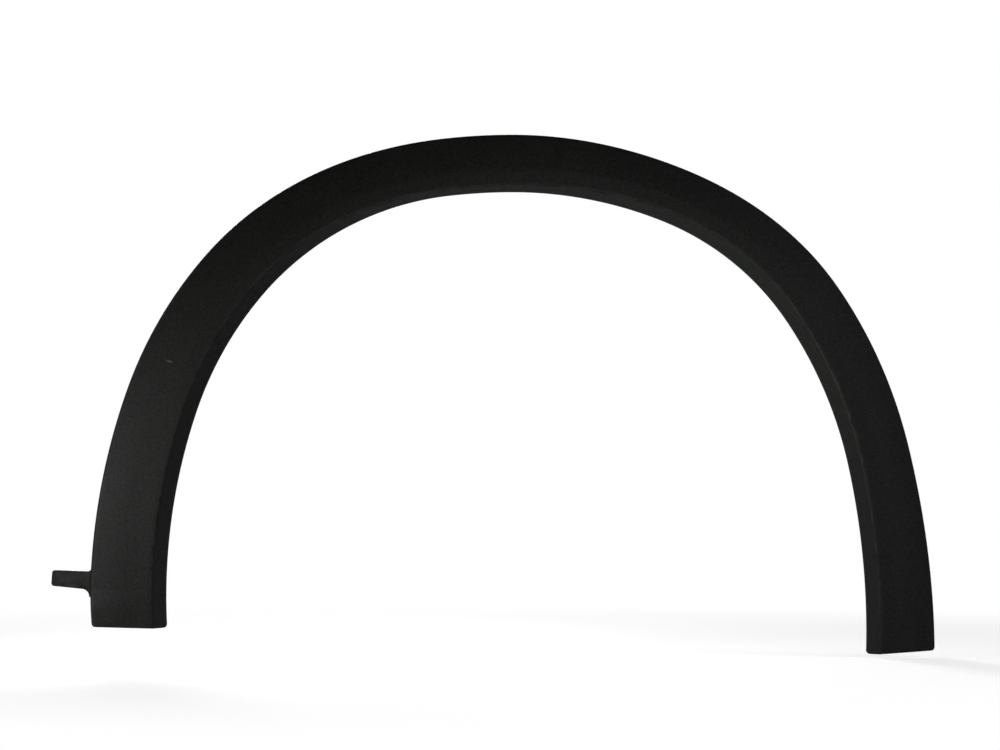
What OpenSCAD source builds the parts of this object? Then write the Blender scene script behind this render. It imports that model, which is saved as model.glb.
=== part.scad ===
// Wheel arch trim: one moulded strip that frames a wheel opening and is clipped to the body side.
// It is seen from outside the car along +Y. X runs along the car and Z is up. The origin lies
// midway between the two clip seats at the crown, where they touch the body panel.
// The edge that faces the wheel is a chain of tangent arcs on each side of the crown. A folded
// section is carried along it, and its width and lip blend from the end of one arc to the next.

/* [Crown] */
// Width of the band at the crown, from the opening edge to the outer edge
crown_band = 60.6; // [54:0.1:68]
// Width of the lip at the crown, seen from the front
crown_lip = 6; // [4:0.5:9]

/* [Left crown arc] */
// Radius of the opening edge left of the crown
left_crown_r = 595; // [540:1:650]
// Angle that this arc turns through
left_crown_turn = 6.6; // [5:0.1:9]
// Width of the band where this arc ends
left_crown_band = 60.6; // [55:0.1:68]
// Width of the lip where this arc ends
left_crown_lip = 5; // [4:0.5:8]

/* [Left shoulder] */
// Radius of the opening edge at the left shoulder
left_shoulder_r = 305.5; // [290:0.5:325]
// Angle that this arc turns through
left_shoulder_turn = 43.2; // [40:0.1:46]
// Width of the band where this arc ends
left_shoulder_band = 73; // [66:0.1:80]
// Width of the lip where this arc ends
left_shoulder_lip = 12.5; // [6:0.5:16]

/* [Left haunch] */
// Radius of the opening edge at the left haunch
left_haunch_r = 376.5; // [350:0.5:400]
// Angle that this arc turns through
left_haunch_turn = 21.5; // [19:0.1:24]
// Width of the band where this arc ends
left_haunch_band = 77.3; // [70:0.1:86]
// Width of the lip where this arc ends
left_haunch_lip = 13.5; // [6:0.5:17]

/* [Left leg] */
// Radius of the opening edge along the left leg
left_leg_r = 614; // [560:0.5:660]
// Angle that this arc turns through
left_leg_turn = 21.8; // [19:0.1:24]
// Width of the band at the left foot
left_foot_band = 81.5; // [72:0.1:90]
// Width of the lip at the left foot
left_foot_lip = 14; // [6:0.5:17]
// Angle between the cut of the left foot and a square cut
left_foot_skew = 4; // [0:0.1:10]

/* [Right crown arc] */
// Radius of the opening edge right of the crown
right_crown_r = 428; // [400:1:470]
// Angle that this arc turns through
right_crown_turn = 22.1; // [20:0.1:24]
// Width of the band where this arc ends
right_crown_band = 59.4; // [54:0.1:66]
// Width of the lip where this arc ends
right_crown_lip = 11; // [5:0.5:14]

/* [Right shoulder] */
// Radius of the opening edge at the right shoulder
right_shoulder_r = 287.5; // [272:0.5:305]
// Angle that this arc turns through
right_shoulder_turn = 33.8; // [31:0.1:36]
// Width of the band where this arc ends
right_shoulder_band = 65.1; // [59:0.1:72]
// Width of the lip where this arc ends
right_shoulder_lip = 13.5; // [6:0.5:17]

/* [Right haunch] */
// Radius of the opening edge at the right haunch
right_haunch_r = 443; // [415:0.5:470]
// Angle that this arc turns through
right_haunch_turn = 21.4; // [19:0.1:24]
// Width of the band where this arc ends
right_haunch_band = 66.8; // [60:0.1:74]
// Width of the lip where this arc ends
right_haunch_lip = 13.5; // [6:0.5:16]

/* [Right leg] */
// Radius of the opening edge along the right leg
right_leg_r = 813; // [760:1:870]
// Angle that this arc turns through
right_leg_turn = 14.4; // [12:0.1:16]
// Width of the band at the right foot
right_foot_band = 72.5; // [66:0.1:80]
// Width of the lip at the right foot
right_foot_lip = 12.5; // [6:0.5:16]
// Angle between the cut of the right foot and a square cut
right_foot_skew = 5; // [0:0.1:10]

/* [Section] */
// Thickness of the moulding
wall = 2.6; // [2:0.1:3]
// Depth of the return along the outer edge
edge_depth = 5; // [4.5:0.1:8]
// How far the lip crease stands in front of the panel
crease_depth = 17.5; // [15:0.5:22]
// Width of the facet beside the lip
facet_w = 17; // [13:0.5:20]
// How far the facet crease stands in front of a straight face
fold = 3; // [0.5:0.1:4]
// How far it still stands there where it fades out
faint_fold = 1; // [0:0.1:2]
// How far the middle of the outer face stands in front of a flat one
face_crown = 1; // [0:0.1:2]
// How far the lip reaches behind the panel
lip_reach = 15; // [8:0.5:25]
// Length of the bend on each side of the outer edge
edge_bend = 4; // [3.8:0.1:4.4]
// Length of the bend on each side of the middle of the outer face
face_bend = 12; // [4:0.5:13]
// Length of the bend on each side of the facet crease
fold_bend = 3; // [1:0.1:4]
// Length of the bend on each side of the lip crease
crease_bend = 3.4; // [3.2:0.1:5]
// How far the body side curves back between the crown and the reference span
bow = 18; // [0:1:30]
// Distance from the crown at which the body side has curved back that far
bow_span = 400; // [300:10:500]

/* [Feet] */
// Depth of the return below the tab on the left foot
left_foot_edge = 9; // [5:0.5:12]
// Length over which the return grows deeper
edge_ramp = 24; // [6:1:30]
// How much narrower the left foot is at its cut than below the tab
left_foot_taper = 2; // [0:0.1:4]
// Radius of the outer corner of each foot
foot_corner_r = 3.2; // [1:0.1:5]
// Radius of the lip corner of each foot
lip_corner_r = 4; // [2:0.5:8]
// Length over which a section turns to the cut of its foot
skew_run = 80; // [40:5:120]

/* [Tab] */
// Length of the locating tab from the outer edge to its tip
tab_l = 41; // [25:0.5:60]
// Width of the tab at its root
tab_w = 19.4; // [12:0.2:24]
// Width of the tab at its tip
tab_tip_w = 16.8; // [10:0.2:24]
// Thickness of the tab
tab_t = 2.8; // [2:0.1:3.5]
// Height of the middle of the tab above the left foot
tab_rise = 50.5; // [44:0.5:70]
// Angle at which the tab rises towards its tip
tab_slope = 4; // [0:0.5:8]
// How far the back of the tab stays in front of the panel
tab_gap = 1.2; // [0.5:0.1:2]
// Radius of the corners of the tip
tab_corner_r = 3.2; // [1:0.2:6]
// Radius of the fillet above the root of the tab
upper_fillet_r = 3.5; // [1:0.5:6]
// Radius of the fillet below the root of the tab
lower_fillet_r = 8; // [1:0.5:9]

/* [Clip towers] */
// Distance of each crown clip from the middle of the crown
crown_clip_half = 60; // [45:1:80]
// Drop from the crown clips to the shoulder clips
shoulder_drop = 75; // [60:1:90]
// Drop from the crown clips to the haunch clips
haunch_drop = 180; // [160:1:200]
// Drop from the crown clips to the leg clips
leg_drop = 290; // [270:1:310]
// Drop from the crown clips to the foot clips
foot_drop = 395; // [380:1:405]
// Diameter of the clip holes
clip_hole_d = 8.5; // [6:0.1:10]
// Length of a tower along the band
tower_l = 24; // [20:0.5:30]
// Width of a tower across the band
tower_w = 19; // [15:0.5:20]
// Wall of a tower
tower_wall = 2; // [1.6:0.1:2.6]
// Thickness of the seat that holds the clip
tower_roof = 2.5; // [1.5:0.1:3]

/* [Ribs] */
// Thickness of a rib
rib_t = 2; // [1.4:0.1:2.6]
// Number of ribs between two towers
ribs_per_bay = 2; // [1:1:3]
// How far the ribs and the end walls stay in front of the panel
rib_gap = 1.5; // [1:0.1:2.5]

/* [Hidden] */

// Each arc: its radius, the angle that it turns through, and the band, lip and fold where it ends
left = [
    [left_crown_r, left_crown_turn, [left_crown_band, left_crown_lip, fold]],
    [left_shoulder_r, left_shoulder_turn, [left_shoulder_band, left_shoulder_lip, fold]],
    [left_haunch_r, left_haunch_turn, [left_haunch_band, left_haunch_lip, faint_fold]],
    [left_leg_r, left_leg_turn, [left_foot_band, left_foot_lip, 0]]
];
right = [
    [right_crown_r, right_crown_turn, [right_crown_band, right_crown_lip, fold]],
    [right_shoulder_r, right_shoulder_turn, [right_shoulder_band, right_shoulder_lip, faint_fold]],
    [right_haunch_r, right_haunch_turn, [right_haunch_band, right_haunch_lip, 0]],
    [right_leg_r, right_leg_turn, [right_foot_band, right_foot_lip, 0]]
];
degree = 180 / PI;
halvings = 24;
round_fn = 64;
// Pitch of the stations along the arch, and how finely its bends, corners and ramp are divided
step = 16;
edge_steps = 3;
face_steps = 3;
fold_steps = 2;
crease_steps = 4;
corner_steps = 4;
ramp_steps = 4;
// How far a cut runs past the surface that it opens
cut = 1;

function ease(t) = let (k = max(0, min(1, t))) k * k * (3 - 2 * k);
function mix(a, b, t) = a + (b - a) * t;
function unit(v) = v / norm(v);

// The opening edge: a station t is the length along it from the crown, and left of it t is negative
function side(t) = t < 0 ? -1 : 1;
function arcs(t) = t < 0 ? left : right;
function arc_length(a) = a[0] * a[1] / degree;
function reach(chain, n) = n == 0 ? 0 : reach(chain, n - 1) + arc_length(chain[n - 1]);
left_end = -reach(left, len(left));
right_end = reach(right, len(right));
function walk(chain, s, x = 0, z = 0, turned = 0, i = 0) =
    let (
        a = chain[i],
        here = i == len(chain) - 1 || s <= arc_length(a),
        turn = turned + (here ? s / a[0] * degree : a[1]),
        x2 = x + a[0] * (sin(turn) - sin(turned)),
        z2 = z - a[0] * (cos(turned) - cos(turn))
    )
    here ? [x2, z2, turn] : walk(chain, s - arc_length(a), x2, z2, turn, i + 1);

// The band, lip and fold run smoothly through their values at the ends of the arcs, and never
// overshoot them: the slope at a knot is 0 where the values turn round, and otherwise a mean
knots = concat(
    [for (i = [len(left):-1:1]) [-reach(left, i), left[i - 1][2]]],
    [[0, [crown_band, crown_lip, fold]]],
    [for (i = [1:len(right)]) [reach(right, i), right[i - 1][2]]]
);
last_knot = len(knots) - 1;
function rise(i) = (knots[i + 1][1] - knots[i][1]) / (knots[i + 1][0] - knots[i][0]);
function slope(i) =
    let (before = rise(max(i - 1, 0)), after = rise(min(i, last_knot - 1)))
    [for (j = [0:2]) let (a = before[j], b = after[j]) a * b > 0 ? 2 * a * b / (a + b) : 0];
function widths(t, i = 0) =
    i < last_knot - 1 && t > knots[i + 1][0]
        ? widths(t, i + 1)
        : let (a = knots[i], b = knots[i + 1], run = b[0] - a[0], k = (t - a[0]) / run)
            mix(a[1], b[1], ease(k)) + run * k * (1 - k) * ((1 - k) * slope(i) - k * slope(i + 1));

// What changes towards the feet
function to_foot(t) = t < 0 ? t - left_end : right_end - t;
function skew(t) = t < 0 ? left_foot_skew : right_foot_skew;
function rounding(r, d) = d < r ? r - sqrt(r * r - (r - d) * (r - d)) : 0;
deep_run = tab_rise - tab_w / 2;
function taper(t) = t < 0 ? left_foot_taper * max(0, 1 - to_foot(t) / deep_run) : 0;
function band(t) = widths(t)[0] - taper(t) - rounding(foot_corner_r, to_foot(t));
function lip(t) = widths(t)[1];
function fold_at(t) = max(0, widths(t)[2]);
function lip_inset(t) = rounding(lip_corner_r, to_foot(t));
function lip_back(t) = mix(lip_reach, -crease_depth, lip_inset(t) / lip(t));
function deep_share(t) = t < 0 ? ease((deep_run - to_foot(t)) / edge_ramp) : 0;
function edge(t) = mix(edge_depth, left_foot_edge, deep_share(t));

// The section: u is the distance from the opening edge, and v is the depth behind the panel.
// Its corners run from the back of the outer edge over the face and the crease to the lip.
function face_v(t, u) = mix(-crease_depth, -edge(t), (u - lip(t)) / (band(t) - lip(t)));
function facet_u(t) = lip(t) + facet_w;
function middle_u(t) = (facet_u(t) + band(t)) / 2;
function corners(t) =
    let (edge_corner = [band(t), -edge(t)], facet_corner = [facet_u(t), face_v(t, facet_u(t)) - fold_at(t)])
    [
        [band(t), 0],
        edge_corner,
        (edge_corner + facet_corner) / 2 - [0, face_crown],
        facet_corner,
        [lip(t), -crease_depth],
        [lip_inset(t), lip_back(t)]
    ];
// A smooth bend at the corner b of the path a, b, c, as points with their directions
function bend(a, b, c, length, steps) =
    let (p = b + unit(a - b) * length, q = b + unit(c - b) * length)
    [for (i = [0:steps]) let (k = i / steps)
        [p * (1 - k) * (1 - k) + b * 2 * k * (1 - k) + q * k * k, unit((b - p) * (1 - k) + (q - b) * k)]];
function skin(t) =
    let (c = corners(t))
    concat(
        [[c[0], unit(c[1] - c[0])]],
        bend(c[0], c[1], c[2], edge_bend, edge_steps),
        bend(c[1], c[2], c[3], face_bend, face_steps),
        bend(c[2], c[3], c[4], fold_bend, fold_steps),
        bend(c[3], c[4], c[5], crease_bend, crease_steps),
        [[c[5], unit(c[5] - c[4])]]
    );
// A skin moved inwards by a depth
function sunk(skin, depth) = [for (p = skin) p[0] + depth * [p[1].y, -p[1].x]];

// From a station, a distance u and a depth v to a point of the part
function bow_at(x) = bow * (x * x - crown_clip_half * crown_clip_half) / (bow_span * bow_span);
function drawn(t, u) =
    let (
        g = walk(arcs(t), abs(t)),
        out = [side(t) * sin(g[2]), cos(g[2])],
        down = [side(t) * cos(g[2]), -sin(g[2])],
        back = u * tan(skew(t)) * ease(1 - to_foot(t) / skew_run)
    )
    [side(t) * g[0], g[1]] + out * u - down * back;
function place(t, u, v) = let (p = drawn(t, u)) [p.x, v + bow_at(p.x), p.y - crown_clip_z];

// Stations of the clips, found by halving: the middle of the outer face at the crown clips' distance
// from the crown axis, and below them at each pair's drop
function clip_spot(t) = drawn(t, middle_u(t));
function seek_x(side, x, lo, hi, n = halvings) =
    let (s = (lo + hi) / 2)
    n == 0 ? side * s
        : abs(clip_spot(side * s).x) < x ? seek_x(side, x, s, hi, n - 1) : seek_x(side, x, lo, s, n - 1);
function seek_z(side, z, lo, hi, n = halvings) =
    let (s = (lo + hi) / 2)
    n == 0 ? side * s
        : clip_spot(side * s).y > z ? seek_z(side, z, s, hi, n - 1) : seek_z(side, z, lo, s, n - 1);
crown_t = [seek_x(-1, crown_clip_half, 0, -left_end / 2), seek_x(1, crown_clip_half, 0, right_end / 2)];
crown_clip_z = (clip_spot(crown_t[0]).y + clip_spot(crown_t[1]).y) / 2;
drops = [shoulder_drop, haunch_drop, leg_drop, foot_drop];
// Each pair of towers: the stations of its two towers and the place of its two holes
pairs = concat(
    [[crown_t, [-crown_clip_half, crown_clip_half], 0]],
    [for (drop = drops)
        let (z = crown_clip_z - drop, t = [seek_z(-1, z, 0, -left_end), seek_z(1, z, 0, right_end)])
        [t, [for (i = [0, 1]) round(clip_spot(t[i]).x)], -drop]]
);
function seat_y(pair) = bow_at((pair[1][1] - pair[1][0]) / 2);

// Stations of the moulding, closer together at the feet and where the return grows deeper
foot_run = max(foot_corner_r, lip_corner_r);
near_foot = [for (i = [0:corner_steps]) foot_run * (1 - cos(90 * i / corner_steps))];
function spread(from, to, pitch) =
    let (count = max(1, round((to - from) / pitch)))
    [for (i = [1:count]) mix(from, to, i / count)];
ramp_end = left_end + deep_run;
stations = concat(
    [for (d = near_foot) left_end + d],
    spread(left_end + foot_run, ramp_end - edge_ramp, step),
    spread(ramp_end - edge_ramp, ramp_end, edge_ramp / ramp_steps),
    spread(ramp_end, right_end - foot_run, step),
    [for (i = [corner_steps - 1:-1:0]) right_end - near_foot[i]]
);

// Two rows of points, one in front and one behind, joined into a closed solid along its rings
module loft(rings) {
    n = len(rings[0]);
    half = n / 2;
    last = len(rings) - 1;
    function quad(a, b, c, d) = [[a, b, c], [a, c, d]];
    sides = [for (k = [0:last - 1], j = [0:n - 1]) let (a = k * n, b = (k + 1) * n, i = (j + 1) % n)
        each quad(a + j, b + j, b + i, a + i)];
    caps = [for (j = [0:half - 2]) let (e = last * n) each concat(
        quad(j, j + 1, n - 2 - j, n - 1 - j),
        quad(e + j, e + n - 1 - j, e + n - 2 - j, e + j + 1))];
    polyhedron([for (ring = rings) each ring], concat(sides, caps), convexity = 10);
}

function closed(front, back) = concat(front, [for (i = [len(back) - 1:-1:0]) back[i]]);
function ring(t) =
    let (s = skin(t), inner = sunk(s, wall))
    closed([for (p = s) place(t, p[0].x, p[0].y)], [for (p = inner) place(t, p.x, p.y)]);

// The moulding itself, with its return, face, facet and lip
module shell() {
    loft([for (t = stations) ring(t)]);
}

// A web across the channel: its rim lies in the middle of the wall, apart from its straight back
function lip_u(t, v) = lip(t) * (lip_reach - v) / (lip_reach + crease_depth);
function web_ring(t) =
    let (
        middle = sunk(skin(t), wall / 2),
        rim = [for (i = [2:len(middle) - 2]) middle[i]],
        far = [band(t) - wall / 2, -rib_gap],
        near = [lip_u(t, -rib_gap) + wall / 2, -rib_gap],
        back = [for (i = [0:len(rim) - 1]) mix(far, near, i / (len(rim) - 1))]
    )
    closed([for (p = rim) place(t, p.x, p.y)], [for (p = back) place(t, p.x, p.y)]);
module web(t, thickness) {
    loft([for (end = [-0.5, 0.5]) web_ring(t + end * thickness)]);
}

module end_walls() {
    for (t = [left_end + wall, right_end - wall]) web(t, wall);
}

function bays(i) = concat([for (pair = pairs) pair[0][i]], [i == 0 ? left_end : right_end]);
function between(a, b) = [for (k = [1:ribs_per_bay]) mix(a, b, k / (ribs_per_bay + 1))];
rib_stations = concat(
    between(crown_t[0], crown_t[1]),
    [for (i = [0, 1]) let (b = bays(i)) for (k = [0:len(b) - 2]) each between(b[k], b[k + 1])]
);
module ribs() {
    for (t = rib_stations) web(t, rib_t);
}

// A clip tower: a box on the outer face, open towards the foot, whose roof is the clip's seat
function face_middle(t, u) =
    let (c = corners(t), i = u > c[2].x ? 1 : 2, a = c[i], b = c[i + 1])
    mix(a.y, b.y, (a.x - u) / (a.x - b.x)) + wall / 2;
function at_y(p, y) = [p.x, y, p.z];
function block_ring(t, half_w, front, back_y) =
    let (
        us = [middle_u(t) + half_w, middle_u(t) - half_w],
        near = [for (u = us) place(t, u, face_middle(t, u) - front)],
        far = [for (u = us) at_y(place(t, u, 0), back_y)]
    )
    closed(near, far);
module block(from, to, half_w, front, back_y) {
    loft([for (t = [min(from, to), max(from, to)]) block_ring(t, half_w, front, back_y)]);
}
module tower(t, x, z, seat) {
    outward = side(t) * tower_l / 2;
    difference() {
        block(t - outward, t + outward, tower_w / 2, 0, seat);
        block(
            t - outward + side(t) * tower_wall,
            t + outward + side(t) * cut,
            tower_w / 2 - tower_wall,
            wall / 2,
            seat - tower_roof
        );
        translate([x, seat + cut, z]) rotate([90, 0, 0])
            cylinder(h = tower_roof + 2 * cut, d = clip_hole_d, $fn = round_fn);
    }
}
module towers() {
    for (pair = pairs, i = [0, 1]) tower(pair[0][i], pair[1][i], pair[2], seat_y(pair));
}

// The locating tab: a flat tongue with a blunt tip, which grows out of the outer edge
function seek_edge(z, lo, hi, n = halvings) =
    let (t = (lo + hi) / 2)
    n == 0 ? -t : drawn(-t, band(-t)).y > z ? seek_edge(z, t, hi, n - 1) : seek_edge(z, lo, t, n - 1);
tab_station = seek_edge(drawn(left_end, 0).y + tab_rise, 0, -left_end);
function tab_half(x) = mix(tab_w, tab_tip_w, -x / tab_l) / 2;
module fillet(end, r) {
    middle = tab_half(-r) + r;
    difference() {
        translate([-r, end * middle - (end > 0 ? r + cut : 0)]) square([r + wall / 2, r + cut]);
        translate([-r, end * middle]) circle(r, $fn = round_fn);
    }
}
module tab_outline() {
    r = tab_corner_r;
    tip = -tab_l + r;
    half = tab_half(tip);
    upper = [[wall / 2, tab_w / 2], [0, tab_w / 2], [tip, half]];
    polygon(closed(upper, [for (p = upper) [p.x, -p.y]]));
    translate([-tab_l, r - half]) square([2 * r, 2 * (half - r)]);
    for (end = [-1, 1]) translate([tip, end * (half - r)]) circle(r, $fn = round_fn);
    fillet(1, upper_fillet_r);
    fillet(-1, lower_fillet_r);
}
module tab() {
    root = place(tab_station, band(tab_station), -tab_gap);
    translate(root) rotate([90, tab_slope, 0]) linear_extrude(tab_t) tab_outline();
}

module wheel_arch_trim() {
    color([0.13, 0.135, 0.13]) {
        shell();
        end_walls();
        ribs();
        towers();
        tab();
    }
}

wheel_arch_trim();
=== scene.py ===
"""Wheel arch trim: the finished look of one black moulding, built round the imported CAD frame.

The trim is drawn again here with the section and the opening edge of the CAD part, but with many more
stations and with every rim rounded, because the look of black plastic is all in its edges. Lengths are
in millimetres until a mesh is made.
"""

import math

import bmesh
import bpy
from mathutils import Matrix, Vector


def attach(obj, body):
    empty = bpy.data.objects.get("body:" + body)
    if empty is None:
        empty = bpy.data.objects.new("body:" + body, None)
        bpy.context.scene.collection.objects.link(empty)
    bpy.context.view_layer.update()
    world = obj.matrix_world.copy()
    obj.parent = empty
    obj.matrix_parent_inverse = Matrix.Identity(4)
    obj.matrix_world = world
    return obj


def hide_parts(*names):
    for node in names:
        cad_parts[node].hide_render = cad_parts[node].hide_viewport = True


MM = 0.001
NODE = "wheel_arch_trim"
SLOT = "black_grained_plastic"

# Opening edge, from the crown down each side: radius and turn of an arc, then the band, the lip and the
# fold of the section where the arc ends
FOLD = 3.0
FAINT_FOLD = 1.0
LEFT = [
    (595, 6.6, (60.6, 5, FOLD)),
    (305.5, 43.2, (73, 12.5, FOLD)),
    (376.5, 21.5, (77.3, 13.5, FAINT_FOLD)),
    (614, 21.8, (81.5, 14, 0)),
]
RIGHT = [
    (428, 22.1, (59.4, 11, FOLD)),
    (287.5, 33.8, (65.1, 13.5, FAINT_FOLD)),
    (443, 21.4, (66.8, 13.5, 0)),
    (813, 14.4, (72.5, 12.5, 0)),
]
CROWN = (60.6, 6, FOLD)

# Section
WALL = 2.6
EDGE_DEPTH = 5.0
CREASE_DEPTH = 17.5
FACET_W = 17.0
FACE_CROWN = 1.0
LIP_REACH = 15.0
EDGE_BEND = 4.0
FACE_BEND = 12.0
FOLD_BEND = 3.0
CREASE_BEND = 3.4
RIM_R = 0.5

# Bow of the body side
BOW = 18.0
BOW_SPAN = 400.0

# Feet and tab
LEFT_SKEW = 4.0
RIGHT_SKEW = 5.0
SKEW_RUN = 80.0
FOOT_CORNER_R = 3.2
LIP_CORNER_R = 4.0
LEFT_FOOT_EDGE = 9.0
EDGE_RAMP = 24.0
LEFT_FOOT_TAPER = 2.0
TAB_L = 41.0
TAB_W = 19.4
TAB_TIP_W = 16.8
TAB_T = 2.8
TAB_RISE = 50.5
TAB_SLOPE = 4.0
TAB_GAP = 1.2
TAB_CORNER_R = 3.2
UPPER_FILLET_R = 3.5
LOWER_FILLET_R = 8.0
TAB_RIM = 0.4

# Clip towers and ribs
CROWN_CLIP_HALF = 60.0
DROPS = (75, 180, 290, 395)
CLIP_HOLE_D = 8.5
TOWER_L = 24.0
TOWER_W = 19.0
TOWER_WALL = 2.0
TOWER_ROOF = 2.5
TOWER_RIM = 0.5
RIB_T = 2.0
RIBS_PER_BAY = 2
RIB_GAP = 1.5

# How finely the trim is drawn
STATION_PITCH = 4.0
EDGE_STEPS = 8
FACE_STEPS = 10
FOLD_STEPS = 6
CREASE_STEPS = 8
LIP_STEPS = 6
FACE_PARTS = 3
RIM_STEPS = 3
FOOT_STEPS = 8
FILLET_STEPS = 8
CORNER_STEPS = 8
RAMP_STEPS = 12
HALVINGS = 30
HOLE_SEGMENTS = 64
BEVEL_SEGMENTS = 3
SMOOTH_ANGLE = 40

# The most that one rounded corner takes of a rim's width
RIM_SHARE = 0.45

# How far a cutter reaches past what it cuts
CUT = 1.0

# The webs start at this point of the skin, in the bend of the outer edge
WEB_FIRST = 4


def mix(a, b, t):
    """The value or point at a share t of the way from a to b."""
    return a + (b - a) * t


def ease(t):
    """A smooth step from 0 to 1 while t goes from 0 to 1."""
    k = max(0.0, min(1.0, t))
    return k * k * (3 - 2 * k)


def arc_length(arc):
    """Length of one arc of the opening edge."""
    return arc[0] * math.radians(arc[1])


def reach(chain, count):
    """Distance from the crown to the end of the chain's first arcs, as many as count."""
    return sum(arc_length(arc) for arc in chain[:count])


# Stations are lengths along the opening edge: 0 at the crown, negative to the left, positive to the right.
# A knot is a station where arcs meet, with the band, lip and fold there.
DEEP_RUN = TAB_RISE - TAB_W / 2
LEFT_END = -reach(LEFT, len(LEFT))
RIGHT_END = reach(RIGHT, len(RIGHT))
KNOTS = (
    [(-reach(LEFT, i), Vector(LEFT[i - 1][2])) for i in range(len(LEFT), 0, -1)]
    + [(0.0, Vector(CROWN))]
    + [(reach(RIGHT, i), Vector(RIGHT[i - 1][2])) for i in range(1, len(RIGHT) + 1)]
)


def side(t):
    """-1 on the left half of the arch and 1 on the right half."""
    return -1 if t < 0 else 1


def walk(t):
    """The point of the opening edge at a station, and the angle turned since the crown."""
    chain = LEFT if t < 0 else RIGHT
    s = abs(t)
    x = z = turned = 0.0
    for number, arc in enumerate(chain):
        here = number == len(chain) - 1 or s <= arc_length(arc)
        turn = turned + (s / arc[0] if here else math.radians(arc[1]))
        x += arc[0] * (math.sin(turn) - math.sin(turned))
        z -= arc[0] * (math.cos(turned) - math.cos(turn))
        turned = turn
        s -= arc_length(arc)
        if here:
            break
    return x, z, turned


def rise(i):
    """How fast the values change between a knot and the next one."""
    a, b = KNOTS[i], KNOTS[i + 1]
    return (b[1] - a[1]) / (b[0] - a[0])


def slope(i):
    """How fast the values change at a knot: 0 where they turn round, and otherwise a mean."""
    before, after = rise(max(i - 1, 0)), rise(min(i, len(KNOTS) - 2))
    return Vector([2 * a * b / (a + b) if a * b > 0 else 0 for a, b in zip(before, after)])


def widths(t):
    """Band, lip and fold at a station, blended smoothly through the ends of the arcs."""
    i = 0
    while i < len(KNOTS) - 2 and t > KNOTS[i + 1][0]:
        i += 1
    a, b = KNOTS[i], KNOTS[i + 1]
    run = b[0] - a[0]
    k = (t - a[0]) / run
    return mix(a[1], b[1], ease(k)) + run * k * (1 - k) * ((1 - k) * slope(i) - k * slope(i + 1))


def to_foot(t):
    """Distance from a station to the foot on its side."""
    return t - LEFT_END if t < 0 else RIGHT_END - t


def rounding(r, d):
    """How far a corner of radius r draws an edge in, at a distance d from the corner's end."""
    return r - math.sqrt(r * r - (r - d) ** 2) if d < r else 0.0


def taper(t):
    """How much the band narrows below the tab of the left foot."""
    return LEFT_FOOT_TAPER * max(0.0, 1 - to_foot(t) / DEEP_RUN) if t < 0 else 0.0


def band(t):
    """Width of the whole band, from the opening edge to the outer edge."""
    return widths(t)[0] - taper(t) - rounding(FOOT_CORNER_R, to_foot(t))


def lip(t):
    """Width of the lip."""
    return widths(t)[1]


def edge(t):
    """Depth of the return along the outer edge, which grows at the left foot."""
    share = ease((DEEP_RUN - to_foot(t)) / EDGE_RAMP) if t < 0 else 0.0
    return mix(EDGE_DEPTH, LEFT_FOOT_EDGE, share)


def middle_u(t):
    """The middle of the face, where the clip towers stand."""
    return (lip(t) + FACET_W + band(t)) / 2


def corners(t):
    """Corners of the section as (u, v): from the back of the outer edge to the back of the lip."""
    outer_u, crease_u, depth = band(t), lip(t), edge(t)
    facet_v = mix(-CREASE_DEPTH, -depth, FACET_W / (outer_u - crease_u)) - max(0.0, widths(t)[2])
    facet = Vector((crease_u + FACET_W, facet_v))
    outer = Vector((outer_u, -depth))
    middle = (outer + facet) / 2 - Vector((0, FACE_CROWN))
    crease = Vector((crease_u, -CREASE_DEPTH))
    inset = rounding(LIP_CORNER_R, to_foot(t))
    lip_back = Vector((inset, mix(LIP_REACH, -CREASE_DEPTH, inset / crease_u)))
    return [Vector((outer_u, 0)), outer, middle, facet, crease, lip_back]


def bend(a, b, c, length, steps):
    """A smooth bend at the corner b, as points with their directions."""
    p = b + (a - b).normalized() * length
    q = b + (c - b).normalized() * length
    out = []
    for i in range(steps + 1):
        k = i / steps
        point = p * (1 - k) ** 2 + b * 2 * k * (1 - k) + q * k * k
        out.append((point, ((b - p) * (1 - k) + (q - b) * k).normalized()))
    return out


def straight(a, b, steps):
    """Points strictly between two corners, with their direction."""
    direction = (b - a).normalized()
    return [(mix(a, b, i / steps), direction) for i in range(1, steps)]


def skin(t):
    """The outer skin of the section, as points with their directions."""
    c = corners(t)
    first = bend(c[0], c[1], c[2], EDGE_BEND, EDGE_STEPS)
    second = bend(c[1], c[2], c[3], FACE_BEND, FACE_STEPS)
    third = bend(c[2], c[3], c[4], FOLD_BEND, FOLD_STEPS)
    fourth = bend(c[3], c[4], c[5], CREASE_BEND, CREASE_STEPS)
    return (
        [(c[0], (c[1] - c[0]).normalized())]
        + first
        + straight(first[-1][0], second[0][0], FACE_PARTS)
        + second
        + straight(second[-1][0], third[0][0], FACE_PARTS)
        + third
        + straight(third[-1][0], fourth[0][0], FACE_PARTS)
        + fourth
        + straight(fourth[-1][0], c[5], LIP_STEPS)
        + [(c[5], (c[5] - c[4]).normalized())]
    )


def sunk(points, depth):
    """Points of the skin moved by a depth into the wall."""
    return [p + depth * Vector((d.y, -d.x)) for p, d in points]


def bow_at(x):
    """How far the body side lies back at a distance x from the middle, from 0 at the crown clips."""
    return BOW * (x * x - CROWN_CLIP_HALF ** 2) / BOW_SPAN ** 2


def drawn(t, u):
    """Where a station and a distance u lie in the plane of the arch."""
    x, z, turn = walk(t)
    out = Vector((side(t) * math.sin(turn), math.cos(turn)))
    down = Vector((side(t) * math.cos(turn), -math.sin(turn)))
    skew = LEFT_SKEW if t < 0 else RIGHT_SKEW
    back = u * math.tan(math.radians(skew)) * ease(1 - to_foot(t) / SKEW_RUN)
    return Vector((side(t) * x, z)) + out * u - down * back


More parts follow.
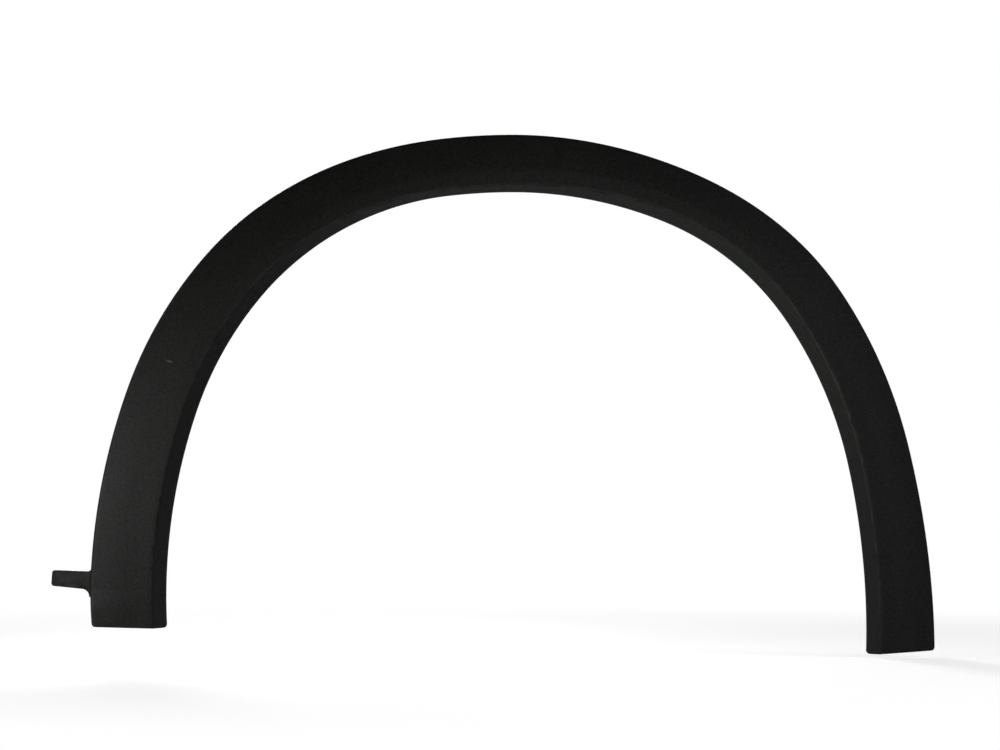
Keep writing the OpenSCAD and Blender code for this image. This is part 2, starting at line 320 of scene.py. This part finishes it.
def halve(is_low, lo, hi):
    """The value between lo and hi where is_low turns false."""
    for _ in range(HALVINGS):
        middle = (lo + hi) / 2
        lo, hi = (middle, hi) if is_low(middle) else (lo, middle)
    return (lo + hi) / 2


def clip_spot(t):
    """The place of a clip in the plane of the arch."""
    return drawn(t, middle_u(t))


CROWN_T = [
    sign * halve(lambda s: abs(clip_spot(sign * s).x) < CROWN_CLIP_HALF, 0, RIGHT_END / 2)
    for sign in (-1, 1)
]
CLIP_Z = sum(clip_spot(t).y for t in CROWN_T) / 2


def clip_pairs():
    """Each pair of towers: their stations, the places of their holes and their height."""
    pairs = [(CROWN_T, (-CROWN_CLIP_HALF, CROWN_CLIP_HALF), 0.0)]
    for drop in DROPS:
        ts = [
            sign * halve(lambda s: clip_spot(sign * s).y > CLIP_Z - drop, 0, end)
            for sign, end in ((-1, -LEFT_END), (1, RIGHT_END))
        ]
        pairs.append((ts, [round(clip_spot(t).x) for t in ts], -drop))
    return pairs


def place(t, u, v):
    """From a station, a distance u and a depth v to a point of the trim, in metres."""
    p = drawn(t, u)
    return Vector((p.x, v + bow_at(p.x), p.y - CLIP_Z)) * MM


def spread(a, b, pitch):
    """Even steps of about one pitch from a to b, without a itself."""
    count = max(1, round((b - a) / pitch))
    return [mix(a, b, i / count) for i in range(1, count + 1)]


def stations():
    """Stations along the arch, closer together at the rounded feet and where the return deepens."""
    run = max(FOOT_CORNER_R, LIP_CORNER_R)
    foot = [run * (1 - math.cos(math.radians(90) * i / FOOT_STEPS)) for i in range(FOOT_STEPS + 1)]
    ramp_end = LEFT_END + DEEP_RUN
    return (
        [LEFT_END + d for d in foot]
        + spread(LEFT_END + run, ramp_end - EDGE_RAMP, STATION_PITCH)
        + spread(ramp_end - EDGE_RAMP, ramp_end, EDGE_RAMP / RAMP_STEPS)
        + spread(ramp_end, RIGHT_END - run, STATION_PITCH)
        + [RIGHT_END - d for d in reversed(foot[:-1])]
    )


def rim(a, b, along, sink):
    """A rounded rim from skin point a to skin point b, whose outermost part lies sink short of them."""
    across = (b - a).normalized()
    r = min(RIM_R, RIM_SHARE * (b - a).length)
    base_a = a - along * (r + sink)
    base_b = b - along * (r + sink)
    angles = [math.radians(90) * i / RIM_STEPS for i in range(RIM_STEPS + 1)]
    first = [base_a + across * r * (1 - math.cos(g)) + along * r * math.sin(g) for g in angles]
    last = [base_b - across * r * (1 - math.cos(g)) + along * r * math.sin(g) for g in reversed(angles)]
    return first + last


def shell_ring(t):
    """The closed loop of the moulding at a station, from the middle of its outer rim and back to it."""
    sink = rounding(RIM_R, to_foot(t))
    points = skin(t)
    outer = sunk(points, sink)
    inner = sunk(points, WALL - sink)
    lip_rim = rim(outer[-1], inner[-1], points[-1][1], sink)
    edge_rim = rim(inner[0], outer[0], -points[0][1], sink)
    half = len(edge_rim) // 2
    loop = edge_rim[half:] + outer[1:-1] + lip_rim + inner[-2:0:-1] + edge_rim[:half]
    return [place(t, p.x, p.y) for p in loop]


def new_object(name, bm):
    """A scene object with the mesh that bm holds, its faces turned outwards."""
    bmesh.ops.recalc_face_normals(bm, faces=bm.faces)
    mesh = bpy.data.meshes.new(name)
    bm.to_mesh(mesh)
    bm.free()
    obj = bpy.data.objects.new(name, mesh)
    bpy.context.scene.collection.objects.link(obj)
    return obj


def add_loft(bm, rings):
    """Rings of points joined into a closed solid. Quads across the first and last ring close it."""
    rows = [[bm.verts.new(p) for p in ring] for ring in rings]
    n = len(rows[0])
    for a, b in zip(rows, rows[1:]):
        for j in range(n):
            i = (j + 1) % n
            bm.faces.new((a[j], b[j], b[i], a[i]))
    for row in (rows[0], rows[-1]):
        for j in range(n // 2 - 1):
            bm.faces.new((row[j], row[j + 1], row[n - 2 - j], row[n - 1 - j]))


def build_shell():
    """The moulding itself, with its return, face, facet and lip."""
    bm = bmesh.new()
    add_loft(bm, [shell_ring(t) for t in stations()])
    return new_object("shell", bm)


def web_ring(t, back_v):
    """A web across the channel: its rim lies in the middle of the wall, apart from its straight back."""
    points = sunk(skin(t), WALL / 2)[WEB_FIRST:-LIP_STEPS]
    far = Vector((band(t) - WALL / 2, back_v))
    near = Vector((lip(t) * (LIP_REACH - back_v) / (LIP_REACH + CREASE_DEPTH) + WALL / 2, back_v))
    back = [mix(far, near, i / (len(points) - 1)) for i in range(len(points))]
    return [place(t, p.x, p.y) for p in points + back[::-1]]


def add_web(bm, t, thickness):
    """A rib or end wall with a rounded back."""
    steps = [RIM_R * (1 - math.cos(math.radians(90 * i / RIM_STEPS))) for i in range(RIM_STEPS + 1)]
    offsets = steps + [thickness - d for d in reversed(steps)]
    rings = []
    for d in offsets:
        back_v = -RIB_GAP - rounding(RIM_R, min(d, thickness - d))
        rings.append(web_ring(t - thickness / 2 + d, back_v))
    add_loft(bm, rings)


def between(a, b):
    """Stations of the ribs in the bay between two stations."""
    return [mix(a, b, k / (RIBS_PER_BAY + 1)) for k in range(1, RIBS_PER_BAY + 1)]


def build_webs(pairs):
    """The end walls of the feet, and the ribs between the clip towers."""
    bm = bmesh.new()
    for t in (LEFT_END + WALL, RIGHT_END - WALL):
        add_web(bm, t, WALL)
    ribs = between(*CROWN_T)
    for i, end in enumerate((LEFT_END, RIGHT_END)):
        ts = [pair[0][i] for pair in pairs] + [end]
        for a, b in zip(ts, ts[1:]):
            ribs += between(a, b)
    for t in ribs:
        add_web(bm, t, RIB_T)
    return new_object("webs", bm)


def face_middle(t, u):
    """Depth of the middle of the outer face's wall."""
    c = corners(t)
    a, b = (c[1], c[2]) if u > c[2].x else (c[2], c[3])
    return mix(a.y, b.y, (a.x - u) / (a.x - b.x)) + WALL / 2


def block_corners(start, end, half_w, front, back_y):
    """The two end rings of a block: its front follows the face and its back is level at back_y."""
    rows = []
    for t in (start, end):
        us = (middle_u(t) + half_w, middle_u(t) - half_w)
        near = [place(t, u, face_middle(t, u) - front) for u in us]
        far = [place(t, u, 0) for u in us]
        rows.append(near + [Vector((p.x, back_y * MM, p.z)) for p in reversed(far)])
    return rows


def build_blocks(pairs, name, start, end, half_w, front, roof, bevel):
    """One block for each tower, from start to end along the arch, measured from the middle of its hole."""
    bm = bmesh.new()
    for ts, xs, _ in pairs:
        seat = bow_at((xs[1] - xs[0]) / 2) - roof
        for t in ts:
            add_loft(bm, block_corners(t + side(t) * start, t + side(t) * end, half_w, front, seat))
    if bevel:
        bmesh.ops.bevel(
            bm, geom=bm.edges[:], offset=bevel * MM, segments=BEVEL_SEGMENTS, profile=0.5,
            affect="EDGES", clamp_overlap=True,
        )
    return new_object(name, bm)


def build_holes(pairs):
    """Round cutters for the clip holes."""
    bm = bmesh.new()
    depth = (TOWER_ROOF + 2 * CUT) * MM
    for _, xs, z in pairs:
        seat = bow_at((xs[1] - xs[0]) / 2)
        for x in xs:
            spot = Vector((x, seat - TOWER_ROOF / 2, z)) * MM
            turned = Matrix.Translation(spot) @ Matrix.Rotation(math.radians(90), 4, "X")
            bmesh.ops.create_cone(
                bm, cap_ends=True, segments=HOLE_SEGMENTS, depth=depth,
                radius1=CLIP_HOLE_D / 2 * MM, radius2=CLIP_HOLE_D / 2 * MM, matrix=turned,
            )
    return new_object("holes", bm)


def arc_points(centre, r, start, end, steps):
    """Points on an arc between two angles in degrees."""
    angles = [math.radians(mix(start, end, i / steps)) for i in range(steps + 1)]
    return [Vector((centre[0] + r * math.cos(g), centre[1] + r * math.sin(g))) for g in angles]


def tab_half(x):
    """Half the tab's width at x, which is 0 at its root and negative towards its tip."""
    return mix(TAB_W, TAB_TIP_W, -x / TAB_L) / 2


def tab_side(fillet_r):
    """One long side of the tab, from its root in the wall over a fillet to the middle of the blunt tip."""
    r = TAB_CORNER_R
    half = tab_half(r - TAB_L)
    return (
        [Vector((WALL / 2, tab_half(-fillet_r) + fillet_r))]
        + arc_points((-fillet_r, tab_half(-fillet_r) + fillet_r), fillet_r, 0, -90, FILLET_STEPS)
        + arc_points((r - TAB_L, half - r), r, 90, 180, CORNER_STEPS)
    )


def inset_outline(points, inset):
    """An outline moved inwards, apart from its root side, which stays in the wall."""
    out = []
    for i, p in enumerate(points):
        along = (points[(i + 1) % len(points)] - points[i - 1]).normalized()
        out.append(p if p.x > 0 else p + Vector((-along.y, along.x)) * inset)
    return out


def build_tab():
    """The locating tab: a flat tongue with a blunt tip, rounded rims and a fillet each side of its root."""
    foot_z = drawn(LEFT_END, 0).y
    t = -halve(lambda s: drawn(-s, band(-s)).y > foot_z + TAB_RISE, 0, -LEFT_END)
    lower = [Vector((p.x, -p.y)) for p in reversed(tab_side(LOWER_FILLET_R))]
    outline = tab_side(UPPER_FILLET_R) + lower
    root = place(t, band(t), -TAB_GAP)
    turned = Matrix.Translation(root) @ Matrix.Rotation(math.radians(TAB_SLOPE), 4, "Y")
    bm = bmesh.new()
    rows = []
    for depth, inset in ((0, TAB_RIM), (TAB_RIM, 0), (TAB_T - TAB_RIM, 0), (TAB_T, TAB_RIM)):
        ring = [Vector((p.x, -depth, p.y)) * MM for p in inset_outline(outline, inset)]
        rows.append([bm.verts.new(turned @ p) for p in ring])
    for a, b in zip(rows, rows[1:]):
        for j in range(len(a)):
            i = (j + 1) % len(a)
            bm.faces.new((a[j], b[j], b[i], a[i]))
    bm.faces.new(rows[0])
    bm.faces.new(rows[-1])
    return new_object("tab", bm)


def combine(base, operation, other):
    """Applies one boolean operation to base and removes the other object."""
    mod = base.modifiers.new(operation, "BOOLEAN")
    mod.operation = operation
    mod.object = other
    mod.solver = "MANIFOLD"
    depsgraph = bpy.context.evaluated_depsgraph_get()
    mesh = bpy.data.meshes.new_from_object(base.evaluated_get(depsgraph))
    base.modifiers.clear()
    base.data = mesh
    bpy.data.objects.remove(other)


def build_trim():
    """The whole moulding as one mesh."""
    pairs = clip_pairs()
    half = TOWER_L / 2
    towers = build_blocks(pairs, "towers", -half, half, TOWER_W / 2, 0, 0, TOWER_RIM)
    pockets = build_blocks(
        pairs, "pockets", -half + TOWER_WALL, half + CUT, TOWER_W / 2 - TOWER_WALL, WALL / 2,
        TOWER_ROOF, 0,
    )
    combine(towers, "DIFFERENCE", pockets)
    combine(towers, "DIFFERENCE", build_holes(pairs))
    trim = build_shell()
    combine(trim, "UNION", build_webs(pairs))
    combine(trim, "UNION", towers)
    combine(trim, "UNION", build_tab())
    trim.name = "trim_moulding"
    trim.data.name = "trim_moulding"
    trim.data.shade_smooth()
    trim.data.set_sharp_from_angle(angle=math.radians(SMOOTH_ANGLE))
    return trim


# The plastic: its two shades in large faint blotches, its gloss and its roughness. From here on, sizes are
# in metres.
DARK = (0.0064, 0.0073, 0.0063)
LIGHT = (0.0086, 0.0098, 0.0084)
BLOTCH_SIZE = 0.05
BLOTCH_DETAIL = 4.0
NOISE_ROUGHNESS = 0.6
GLOSS = 0.08
ROUGH_LOW = 0.50
ROUGH_HIGH = 0.60

# The moulded grain: its height, and how far it darkens the plastic where its noise is low and lightens it
# where its noise is high
GRAIN_SIZE = 0.0023
GRAIN_DETAIL = 2.0
GRAIN_HEIGHT = 0.00018
GRAIN_FROM = 0.3
GRAIN_TO = 0.7
GRAIN_DARK = 0.6
GRAIN_LIGHT = 1.4

# The pale rims and folds, rubbed wear on the rims and a painted highlight along the folds: the pointiness
# from which they show, and the patches that break them up
WORN_SHEEN = (0.0175, 0.0183, 0.0172)
WEAR_SHEEN_FROM = 0.505
WEAR_SHEEN_TO = 0.519
WEAR_SHEEN_SIZE = 0.012
WEAR_SHEEN_DETAIL = 6.0
PATCH_FROM = 0.35
PATCH_TO = 0.65

# The one pale scuff, on the face of the left haunch. A noise is added to the distance from its middle,
# which is measured in halves of its own size. The scuff is full where the sum is below SCUFF_FULL, and gone
# where it is above SCUFF_LAST.
SCUFF = (0.037, 0.039, 0.037)
SCUFF_X = -0.3637
SCUFF_Z = -0.2179
SCUFF_L = 0.0078
SCUFF_W = 0.0026
SCUFF_TILT = 14
SCUFF_DEPTH = 0.02
SCUFF_NOISE_SCALE = 1.3
SCUFF_NOISE_DETAIL = 3.0
SCUFF_FULL = 1.1
SCUFF_LAST = 1.7

# The camera, level with the middle of the trim
CAMERA_SPOT = (-0.01336, -6.0, -0.23232)
CAMERA_LENS = 204.02
CAMERA_SENSOR = 36

# The floor: its surface, how much the camera sees it lifted, and the distances from the middle between which
# it fades to white
FLOOR_Z = -0.5315
FLOOR_HALF = 6.0
FLOOR_GREY = 0.9
FLOOR_ROUGHNESS = 0.9
FLOOR_GLOSS = 0.1
FLOOR_LIFT = 0.65
FLOOR_FADE_FROM = 0.45
FLOOR_FADE_TO = 1.4

# The room: its level of light, and how far a direction points at the white wall where the wall begins and
# where it is full
ROOM = 0.02
WALL_FROM = 0.40
WALL_TO = 0.95

# Spots of the trim that the softboxes face
MIDDLE = (0.0, 0.0, -0.25)
LEFT_LEG = (-0.39, 0.0, -0.355)
RIGHT_SHOULDER = (0.3, 0.0, -0.14)

# Each softbox: its name, place and aim, its width and height, its watts, and its beam's spread in degrees
SOFTBOXES = (
    ("left_leg_softbox", (-0.8, -0.25, -0.33), LEFT_LEG, 0.12, 0.12, 2.35, 180),
    ("left_top_softbox", (-1.4, -1.0, 0.3), MIDDLE, 0.6, 0.6, 0.8, 180),
    ("right_softbox", (1.3, -2.6, -0.25), MIDDLE, 1.0, 0.5, 24.4, 180),
    ("right_top_softbox", (1.9, -0.9, 0.9), MIDDLE, 1.0, 1.0, 9.6, 180),
    ("right_lip_softbox", (-0.7, -0.5, -0.48), RIGHT_SHOULDER, 0.3, 0.08, 0.92, 50),
    ("crown_lip_softbox", (-1.1, 0.7, 0.1), MIDDLE, 0.5, 0.4, 0.54, 180),
    ("back_softbox", (-0.5, 2.8, 0.3), MIDDLE, 0.6, 0.6, 3.0, 40),
)


def add_node(tree, kind, inputs=None, **settings):
    """A shader node with its settings and the constants of its sockets."""
    node = tree.nodes.new(kind)
    for name, value in settings.items():
        setattr(node, name, value)
    for name, value in (inputs or {}).items():
        node.inputs[name].default_value = value
    return node


def mix_colour(tree, share, first, second):
    """A colour that goes from first to second as share goes from 0 to 1."""
    node = add_node(tree, "ShaderNodeMix", data_type="RGBA")
    tree.links.new(share, node.inputs["Factor"])
    for socket, colour in ((node.inputs["A"], first), (node.inputs["B"], second)):
        if isinstance(colour, tuple):
            socket.default_value = (*colour, 1)
        else:
            tree.links.new(colour, socket)
    return node.outputs["Result"]


def multiply(tree, first, second):
    """The product of two values."""
    node = add_node(tree, "ShaderNodeMath", operation="MULTIPLY")
    tree.links.new(first, node.inputs[0])
    tree.links.new(second, node.inputs[1])
    return node.outputs["Value"]


def wear_and_sheen(tree, spot):
    """1 on the rims, corners and folds, in uneven patches, and 0 elsewhere: rubbed wear on the rims and a
    painted highlight along the folds.
    """
    geometry = add_node(tree, "ShaderNodeNewGeometry")
    rim = add_node(tree, "ShaderNodeMapRange", {"From Min": WEAR_SHEEN_FROM, "From Max": WEAR_SHEEN_TO})
    tree.links.new(geometry.outputs["Pointiness"], rim.inputs["Value"])
    patches = add_node(tree, "ShaderNodeTexNoise", {"Scale": 1 / WEAR_SHEEN_SIZE, "Detail": WEAR_SHEEN_DETAIL})
    tree.links.new(spot, patches.inputs["Vector"])
    uneven = add_node(tree, "ShaderNodeMapRange", {"From Min": PATCH_FROM, "From Max": PATCH_TO})
    tree.links.new(patches.outputs["Fac"], uneven.inputs["Value"])
    return multiply(tree, rim.outputs["Result"], uneven.outputs["Result"])


def scuff(tree, spot):
    """1 inside one small rubbed oval on the front face, and 0 elsewhere."""
    placed = add_node(
        tree, "ShaderNodeMapping",
        {
            "Location": (SCUFF_X, 0, SCUFF_Z),
            "Rotation": (0, math.radians(SCUFF_TILT), 0),
            "Scale": (SCUFF_L / 2, SCUFF_DEPTH, SCUFF_W / 2),
        },
        vector_type="TEXTURE",
    )
    tree.links.new(spot, placed.inputs["Vector"])
    ragged = add_node(
        tree, "ShaderNodeTexNoise", {"Scale": SCUFF_NOISE_SCALE, "Detail": SCUFF_NOISE_DETAIL}
    )
    tree.links.new(placed.outputs["Vector"], ragged.inputs["Vector"])
    radius = add_node(tree, "ShaderNodeVectorMath", operation="LENGTH")
    tree.links.new(placed.outputs["Vector"], radius.inputs[0])
    total = add_node(tree, "ShaderNodeMath", operation="ADD")
    tree.links.new(radius.outputs["Value"], total.inputs[0])
    tree.links.new(ragged.outputs["Fac"], total.inputs[1])
    inside = add_node(tree, "ShaderNodeMapRange", {"From Min": SCUFF_LAST, "From Max": SCUFF_FULL})
    tree.links.new(total.outputs["Value"], inside.inputs["Value"])
    return inside.outputs["Result"]


def make_plastic():
    """Black grained plastic: a fine moulded grain, faint blotches of colour and gloss, lighter edges that
    are rubbed wear on the rims and a painted highlight along the folds, and one pale scuff."""
    material = bpy.data.materials.new(SLOT)
    material.use_nodes = True
    tree = material.node_tree
    link = tree.links.new
    shader = tree.nodes["Principled BSDF"]
    shader.inputs["Specular IOR Level"].default_value = GLOSS
    spot = add_node(tree, "ShaderNodeTexCoord").outputs["Object"]

    blotches = add_node(
        tree, "ShaderNodeTexNoise",
        {"Scale": 1 / BLOTCH_SIZE, "Detail": BLOTCH_DETAIL, "Roughness": NOISE_ROUGHNESS},
    )
    link(spot, blotches.inputs["Vector"])
    plain = mix_colour(tree, blotches.outputs["Fac"], DARK, LIGHT)
    grain = add_node(
        tree, "ShaderNodeTexNoise",
        {"Scale": 1 / GRAIN_SIZE, "Detail": GRAIN_DETAIL, "Roughness": NOISE_ROUGHNESS},
    )
    link(spot, grain.inputs["Vector"])
    shade = add_node(
        tree, "ShaderNodeMapRange",
        {"From Min": GRAIN_FROM, "From Max": GRAIN_TO, "To Min": GRAIN_DARK, "To Max": GRAIN_LIGHT},
    )
    link(grain.outputs["Fac"], shade.inputs["Value"])
    grained = add_node(tree, "ShaderNodeVectorMath", operation="SCALE")
    link(plain, grained.inputs[0])
    link(shade.outputs["Result"], grained.inputs["Scale"])
    # Pale rims and folds: rubbed wear on the rims, and a painted highlight along the folds
    worn_sheen_colour = mix_colour(tree, wear_and_sheen(tree, spot), grained.outputs["Vector"], WORN_SHEEN)
    link(mix_colour(tree, scuff(tree, spot), worn_sheen_colour, SCUFF), shader.inputs["Base Color"])

    rough = add_node(tree, "ShaderNodeMapRange", {"To Min": ROUGH_LOW, "To Max": ROUGH_HIGH})
    link(blotches.outputs["Fac"], rough.inputs["Value"])
    link(rough.outputs["Result"], shader.inputs["Roughness"])

    bump = add_node(tree, "ShaderNodeBump", {"Distance": GRAIN_HEIGHT, "Strength": 1.0})
    link(grain.outputs["Fac"], bump.inputs["Height"])
    link(bump.outputs["Normal"], shader.inputs["Normal"])
    return material


def make_floor():
    """A large pale floor. To the camera it is lifted towards white, so that only the shadow stays darker,
    and further out it runs into the white of the background."""
    bm = bmesh.new()
    bmesh.ops.create_grid(bm, x_segments=1, y_segments=1, size=FLOOR_HALF)
    floor = new_object("floor", bm)
    floor.location = (0, 0, FLOOR_Z)
    material = bpy.data.materials.new("pale_floor")
    material.use_nodes = True
    tree = material.node_tree
    link = tree.links.new
    diffuse = tree.nodes["Principled BSDF"]
    diffuse.inputs["Base Color"].default_value = (FLOOR_GREY, FLOOR_GREY, FLOOR_GREY, 1)
    diffuse.inputs["Roughness"].default_value = FLOOR_ROUGHNESS
    diffuse.inputs["Specular IOR Level"].default_value = FLOOR_GLOSS
    diffuse.inputs["Emission Color"].default_value = (1, 1, 1, 1)
    path = add_node(tree, "ShaderNodeLightPath")
    lift = add_node(tree, "ShaderNodeMapRange", {"To Max": FLOOR_LIFT})
    link(path.outputs["Is Camera Ray"], lift.inputs["Value"])
    link(lift.outputs["Result"], diffuse.inputs["Emission Strength"])
    white = add_node(tree, "ShaderNodeEmission", {"Color": (1, 1, 1, 1), "Strength": 1.0})
    spot = add_node(tree, "ShaderNodeTexCoord")
    length = add_node(tree, "ShaderNodeVectorMath", operation="LENGTH")
    link(spot.outputs["Object"], length.inputs[0])
    far = add_node(
        tree, "ShaderNodeMapRange", {"From Min": FLOOR_FADE_FROM, "From Max": FLOOR_FADE_TO},
        interpolation_type="SMOOTHSTEP",
    )
    link(length.outputs["Value"], far.inputs["Value"])
    mixed = add_node(tree, "ShaderNodeMixShader")
    link(multiply(tree, path.outputs["Is Camera Ray"], far.outputs["Result"]), mixed.inputs["Fac"])
    link(diffuse.outputs["BSDF"], mixed.inputs[1])
    link(white.outputs["Emission"], mixed.inputs[2])
    link(mixed.outputs["Shader"], tree.nodes["Material Output"].inputs["Surface"])
    floor.data.materials.append(material)


def make_world():
    """White to the camera, and in reflections of the wall behind the trim. Otherwise it is a dim room."""
    world = bpy.data.worlds.new("studio")
    bpy.context.scene.world = world
    world.use_nodes = True
    tree = world.node_tree
    link = tree.links.new
    room = tree.nodes["Background"]
    room.inputs["Color"].default_value = (1, 1, 1, 1)
    room.inputs["Strength"].default_value = ROOM
    spot = add_node(tree, "ShaderNodeTexCoord")
    axes = add_node(tree, "ShaderNodeSeparateXYZ")
    link(spot.outputs["Generated"], axes.inputs["Vector"])
    wall = add_node(
        tree, "ShaderNodeMapRange", {"From Min": WALL_FROM, "From Max": WALL_TO},
        interpolation_type="SMOOTHSTEP",
    )
    link(axes.outputs["Y"], wall.inputs["Value"])
    white = add_node(tree, "ShaderNodeBackground", {"Color": (1, 1, 1, 1), "Strength": 1.0})
    path = add_node(tree, "ShaderNodeLightPath")
    mirrored = add_node(tree, "ShaderNodeMath", operation="MAXIMUM")
    link(path.outputs["Is Glossy Ray"], mirrored.inputs[0])
    link(path.outputs["Is Transmission Ray"], mirrored.inputs[1])
    seen = add_node(tree, "ShaderNodeMath", operation="MAXIMUM")
    link(path.outputs["Is Camera Ray"], seen.inputs[0])
    link(multiply(tree, mirrored.outputs["Value"], wall.outputs["Result"]), seen.inputs[1])
    mixed = add_node(tree, "ShaderNodeMixShader")
    link(seen.outputs["Value"], mixed.inputs["Fac"])
    link(room.outputs["Background"], mixed.inputs[1])
    link(white.outputs["Background"], mixed.inputs[2])
    link(mixed.outputs["Shader"], tree.nodes["World Output"].inputs["Surface"])


def add_softbox(name, spot, aim, width, height, watts, beam):
    """A soft lamp that faces its aim, with its beam's spread in degrees, and that the camera doesn't see."""
    lamp = bpy.data.lights.new(name, "AREA")
    lamp.shape = "RECTANGLE"
    lamp.size = width
    lamp.size_y = height
    lamp.energy = watts
    lamp.spread = math.radians(beam)
    obj = bpy.data.objects.new(name, lamp)
    obj.location = spot
    obj.rotation_euler = (Vector(aim) - Vector(spot)).to_track_quat("-Z", "Y").to_euler()
    obj.visible_camera = False
    bpy.context.scene.collection.objects.link(obj)


def add_camera():
    """A long lens, level with the middle of the trim and looking straight at its face."""
    camera = bpy.data.cameras.new("camera")
    camera.sensor_width = CAMERA_SENSOR
    camera.lens = CAMERA_LENS
    obj = bpy.data.objects.new("camera", camera)
    obj.location = CAMERA_SPOT
    obj.rotation_euler = (math.radians(90), 0, 0)
    bpy.context.scene.collection.objects.link(obj)
    bpy.context.scene.camera = obj


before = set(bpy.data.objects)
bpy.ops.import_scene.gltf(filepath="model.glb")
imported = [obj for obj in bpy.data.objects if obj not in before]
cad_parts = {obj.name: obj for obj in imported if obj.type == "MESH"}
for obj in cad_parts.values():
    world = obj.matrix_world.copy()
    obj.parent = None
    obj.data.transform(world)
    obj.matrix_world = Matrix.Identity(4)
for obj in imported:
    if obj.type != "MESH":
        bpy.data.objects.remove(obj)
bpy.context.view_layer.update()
trim = build_trim()
trim.data.materials.clear()
trim.data.materials.append(make_plastic())
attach(trim, "root")
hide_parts(NODE)
make_floor()
make_world()
for softbox in SOFTBOXES:
    add_softbox(*softbox)
add_camera()
bpy.context.scene.view_settings.view_transform = "Standard"
